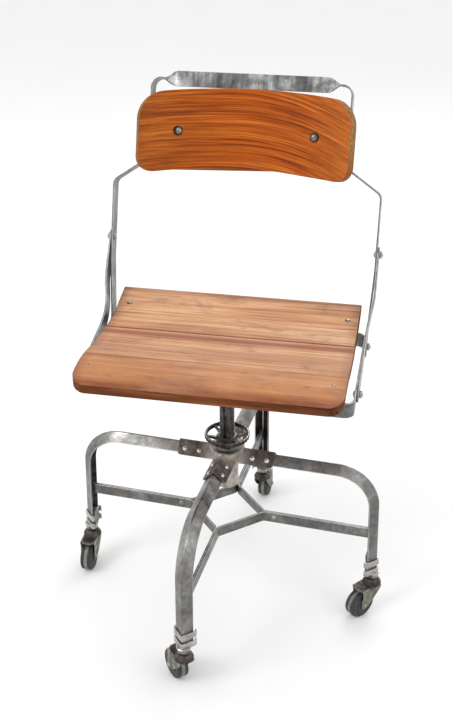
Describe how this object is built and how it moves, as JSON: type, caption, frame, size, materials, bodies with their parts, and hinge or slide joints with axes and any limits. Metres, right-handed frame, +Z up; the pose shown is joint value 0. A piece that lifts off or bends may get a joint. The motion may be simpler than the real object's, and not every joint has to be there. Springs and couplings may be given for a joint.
{
  "type": "drafting chair",
  "caption": "Swivel drafting chair: curved wood backrest and seat on a steel bar frame, raised by a screw and handwheel over a four-leg base with casters.",
  "frame": {"origin": "middle of the whole chair's bounding box in plan, at floor level under the wheels", "axes": "+Z up; the seat faces -Y; +X is to the right of a viewer who stands in front of the chair and looks along +Y"},
  "size_m": [0.5496, 0.5848, 0.8606],
  "materials": {
    "bar_steel": "bare mottled steel with worn bright edges",
    "hub_steel": "brown patina worn bright at edges",
    "dark_steel": "dark oiled, bright on crests",
    "zinc_plate": "aged zinc plate",
    "fixing_steel": "worn bolt heads",
    "wheel_rubber": "hard, dusty",
    "seat_wood": "weathered, oiled",
    "back_wood": "stained and varnished"
  },
  "bodies": {
    "base": {"hub_spider": "hub_steel", "hub_tube": "hub_steel", "guide_key": "hub_steel", "thrust_washer": "bar_steel", "leg_front": "bar_steel", "stretcher_bar_front": "bar_steel", "stretcher_rivet_front": "fixing_steel", "caster_socket_front": "zinc_plate", "leg_right": "bar_steel", "stretcher_bar_right": "bar_steel", "stretcher_rivet_right": "fixing_steel", "caster_socket_right": "zinc_plate", "leg_rear": "bar_steel", "stretcher_bar_rear": "bar_steel", "stretcher_rivet_rear": "fixing_steel", "caster_socket_rear": "zinc_plate", "leg_left": "bar_steel", "stretcher_bar_left": "bar_steel", "stretcher_rivet_left": "fixing_steel", "caster_socket_left": "zinc_plate"},
    "fork_front": {"caster_fork_front": "zinc_plate", "caster_axle_front": "fixing_steel"},
    "fork_right": {"caster_fork_right": "zinc_plate", "caster_axle_right": "fixing_steel"},
    "fork_rear": {"caster_fork_rear": "zinc_plate", "caster_axle_rear": "fixing_steel"},
    "fork_left": {"caster_fork_left": "zinc_plate", "caster_axle_left": "fixing_steel"},
    "wheel_front": {"caster_wheel_front": "wheel_rubber"},
    "wheel_right": {"caster_wheel_right": "wheel_rubber"},
    "wheel_rear": {"caster_wheel_rear": "wheel_rubber"},
    "wheel_left": {"caster_wheel_left": "wheel_rubber"},
    "screw": {"lift_screw": "dark_steel"},
    "handwheel": {"handwheel": "dark_steel"},
    "seat": {"seat_bearing": "hub_steel", "seat_carrier": "bar_steel", "seat_ring": "bar_steel", "seat_cleat_left": "seat_wood", "seat_cleat_right": "seat_wood", "seat_board_rear": "seat_wood", "seat_board_front": "seat_wood", "seat_screw_rear_left": "fixing_steel", "seat_screw_rear_right": "fixing_steel", "seat_screw_front_left": "fixing_steel", "seat_screw_front_right": "fixing_steel", "back_frame": "bar_steel", "back_strap": "bar_steel", "backrest": "back_wood", "brace_right": "bar_steel", "brace_left": "bar_steel", "frame_bolt_rear_right": "fixing_steel", "frame_bolt_rear_left": "fixing_steel", "frame_bolt_front_right": "fixing_steel", "frame_bolt_front_left": "fixing_steel", "frame_bolt_top_right": "fixing_steel", "frame_bolt_top_left": "fixing_steel", "strap_bolt_right": "fixing_steel", "strap_bolt_left": "fixing_steel", "backrest_bolt_right": "fixing_steel", "backrest_bolt_left": "fixing_steel"}
  },
  "joints": [
    {"name": "seat_lift", "type": "slide", "parent": "base", "child": "screw", "axis": [0, 0, 1], "range_m": [-0.075, 0.045]},
    {"name": "handwheel_spin", "type": "hinge", "parent": "base", "child": "handwheel", "pos_m": [-0.00003, -0.01785, 0.31], "axis": [0, 0, 1], "range_deg": [-5120, 8520]},
    {"name": "seat_swivel", "type": "hinge", "parent": "screw", "child": "seat", "pos_m": [-0.00003, -0.01785, 0.42], "axis": [0, 0, 1], "continuous": true},
    {"name": "caster_swivel_front", "type": "hinge", "parent": "base", "child": "fork_front", "pos_m": [-0.02092, -0.27571, 0.06], "axis": [0, 0, 1], "continuous": true},
    {"name": "caster_swivel_right", "type": "hinge", "parent": "base", "child": "fork_right", "pos_m": [0.25782, -0.03873, 0.06], "axis": [0, 0, 1], "continuous": true},
    {"name": "caster_swivel_rear", "type": "hinge", "parent": "base", "child": "fork_rear", "pos_m": [0.02085, 0.24, 0.06], "axis": [0, 0, 1], "continuous": true},
    {"name": "caster_swivel_left", "type": "hinge", "parent": "base", "child": "fork_left", "pos_m": [-0.25789, 0.00303, 0.06], "axis": [0, 0, 1], "continuous": true},
    {"name": "wheel_roll_front", "type": "hinge", "parent": "fork_front", "child": "wheel_front", "pos_m": [-0.03843, -0.25582, 0.0254], "axis": [-0.7505, -0.6609, 0], "continuous": true},
    {"name": "wheel_roll_right", "type": "hinge", "parent": "fork_right", "child": "wheel_right", "pos_m": [0.23987, -0.05823, 0.0254], "axis": [0.7357, -0.6773, 0], "continuous": true},
    {"name": "wheel_roll_rear", "type": "hinge", "parent": "fork_rear", "child": "wheel_rear", "pos_m": [0.02345, 0.26638, 0.0254], "axis": [-0.9952, 0.0981, 0], "continuous": true},
    {"name": "wheel_roll_left", "type": "hinge", "parent": "fork_left", "child": "wheel_left", "pos_m": [-0.25818, -0.02347, 0.0254], "axis": [0.9999, -0.011, 0], "continuous": true}
  ],
  "couplings": [
    {"joint": "handwheel_spin", "follows": "seat_lift", "rad_per_m": -1979}
  ]
}
